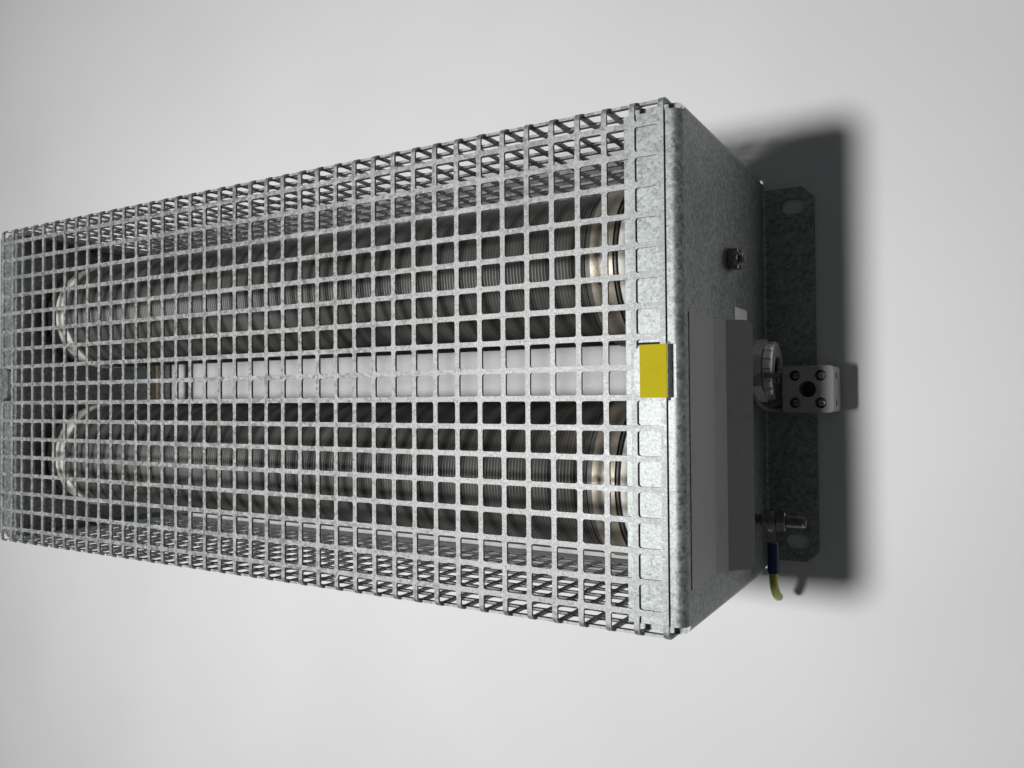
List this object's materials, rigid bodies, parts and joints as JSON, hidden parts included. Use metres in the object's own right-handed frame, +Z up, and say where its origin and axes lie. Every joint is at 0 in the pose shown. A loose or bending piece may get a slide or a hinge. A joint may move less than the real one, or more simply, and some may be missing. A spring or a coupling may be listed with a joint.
{
  "type": "perforated housed braking resistor",
  "caption": "Metal-housed power resistor: wire-wound ceramic tubes on tie rods between footed end plates, under a perforated vented cover, with a terminal block, cable gland and earth stud",
  "frame": {"origin": "On the mounting surface, midway between the four foot slots", "axes": "+X along the housing towards the end with the terminals, +Z up from the mounting surface, +Y across the housing"},
  "size_m": [0.478, 0.1923, 0.1223],
  "materials": {
    "cover_sheet": "galvanised, fine bright spangle",
    "plate_sheet": "galvanised, darker spangle",
    "ceramic": "matt, unglazed",
    "winding_enamel": "dark grey-brown cement coat, matt",
    "zinc_steel": "zinc plated",
    "nut_steel": "zinc plated, satin",
    "link_brass": "plain, dull",
    "black_plastic": "matt",
    "black_rubber": "matt",
    "lead_olive": "impregnated sleeving",
    "lead_grey": "impregnated sleeving",
    "nickel_brass": "nickel plated, polished",
    "block_plastic": "smooth, off-white",
    "brass": "plain",
    "label_white": "satin film, blank",
    "marker_yellow": "satin film, blank",
    "sleeve_blue": "smooth",
    "earth_insulation": "green with a yellow stripe"
  },
  "bodies": {
    "root": {"perforated_cover": "cover_sheet", "front_end_plate": "plate_sheet", "rear_end_plate": "plate_sheet", "left_ceramic_tube": "ceramic", "right_ceramic_tube": "ceramic", "left_winding": "winding_enamel", "right_winding": "winding_enamel", "left_front_band": "zinc_steel", "left_rear_band": "zinc_steel", "right_front_band": "zinc_steel", "right_rear_band": "zinc_steel", "band_screws": "nut_steel", "front_tube_caps": "ceramic", "rear_tube_caps": "ceramic", "left_tie_rod": "zinc_steel", "right_tie_rod": "zinc_steel", "front_rod_washers": "zinc_steel", "rear_rod_washers": "zinc_steel", "front_rod_nuts": "nut_steel", "rear_rod_nuts": "nut_steel", "series_link": "link_brass", "lead_bush": "black_plastic", "lead_a": "lead_olive", "lead_b": "lead_grey", "gland_body": "nickel_brass", "gland_locknut": "nickel_brass", "gland_seal": "black_rubber", "gland_cap": "nickel_brass", "terminal_block": "block_plastic", "terminal_sleeves": "brass", "terminal_screws": "nut_steel", "earth_stud": "zinc_steel", "earth_inner_nut": "nut_steel", "earth_tooth_washer": "zinc_steel", "earth_lug": "zinc_steel", "earth_spring_washer": "zinc_steel", "earth_outer_nut": "nut_steel", "earth_crimp_sleeve": "sleeve_blue", "earth_wire_stub": "earth_insulation", "main_label": "label_white", "small_label": "label_white", "yellow_marker": "marker_yellow"}
  },
  "joints": []
}
